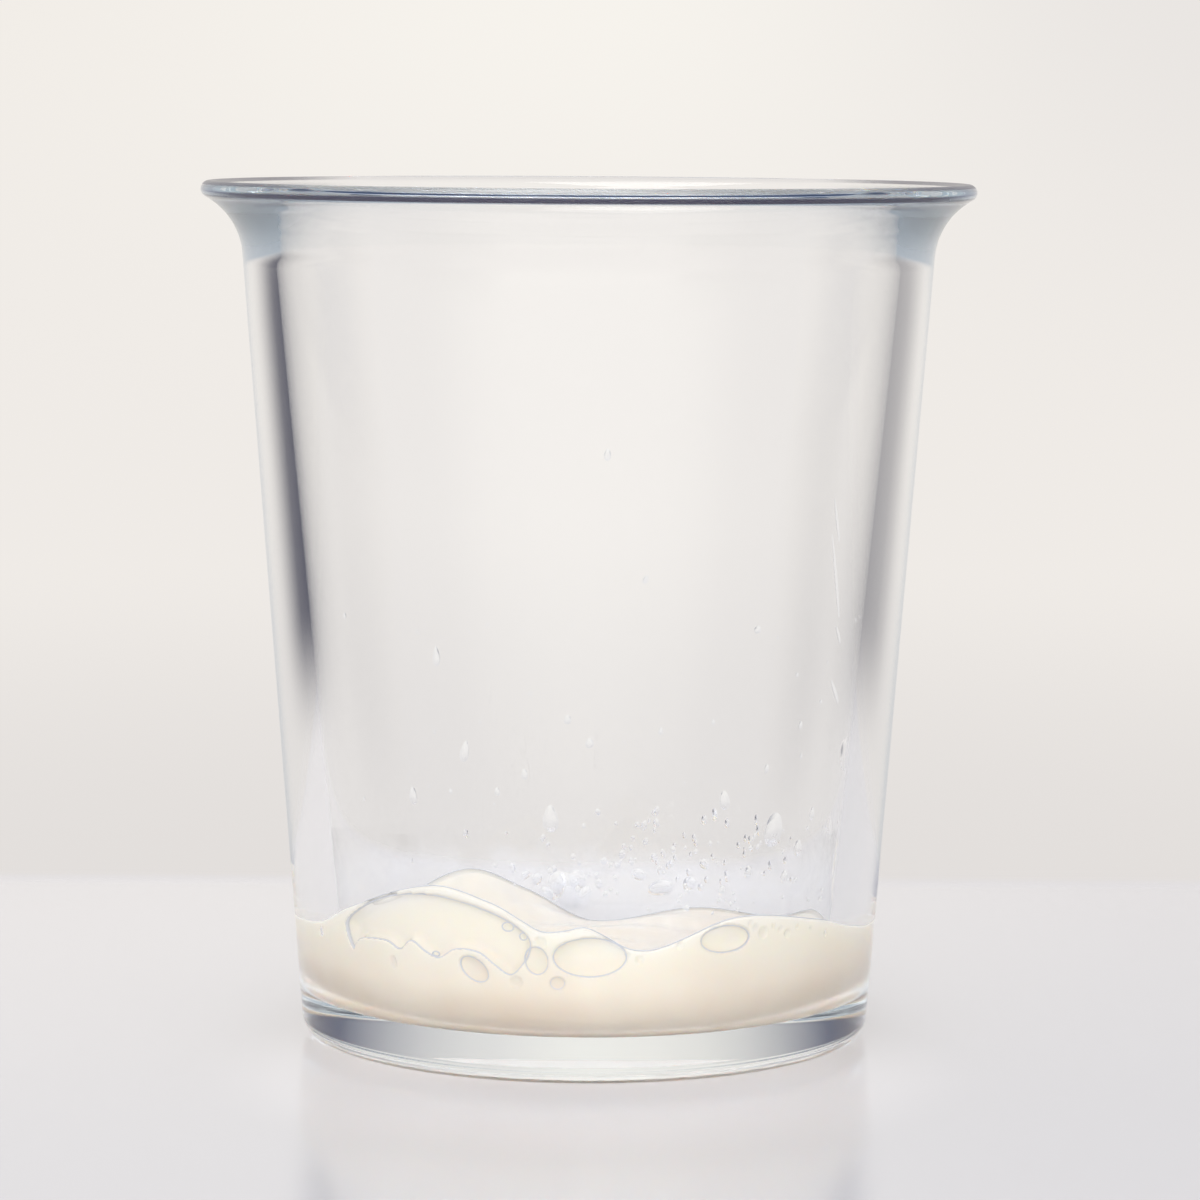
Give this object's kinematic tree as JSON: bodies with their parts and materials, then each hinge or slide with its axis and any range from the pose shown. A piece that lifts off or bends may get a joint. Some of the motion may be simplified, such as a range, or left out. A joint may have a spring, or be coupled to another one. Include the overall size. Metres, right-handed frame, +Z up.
{
  "type": "glass of milk",
  "caption": "Flared clear glass tumbler with a thick base and a rolled lip, with a shallow, swirling layer of milk over its floor.",
  "frame": {"origin": "middle of the ring that the glass stands on, on the table", "axes": "+Z up along the axis of the glass, -Y towards the viewer, +X to the viewer's right"},
  "size_m": [0.086, 0.086, 0.0955],
  "materials": {
    "clear_glass": "clear, polished, with a faint blue-grey cast in the thick parts",
    "milk": "opaque cream-white liquid, glossy and wet"
  },
  "bodies": {
    "root": {"tumbler": "clear_glass", "milk": "milk"}
  },
  "joints": []
}
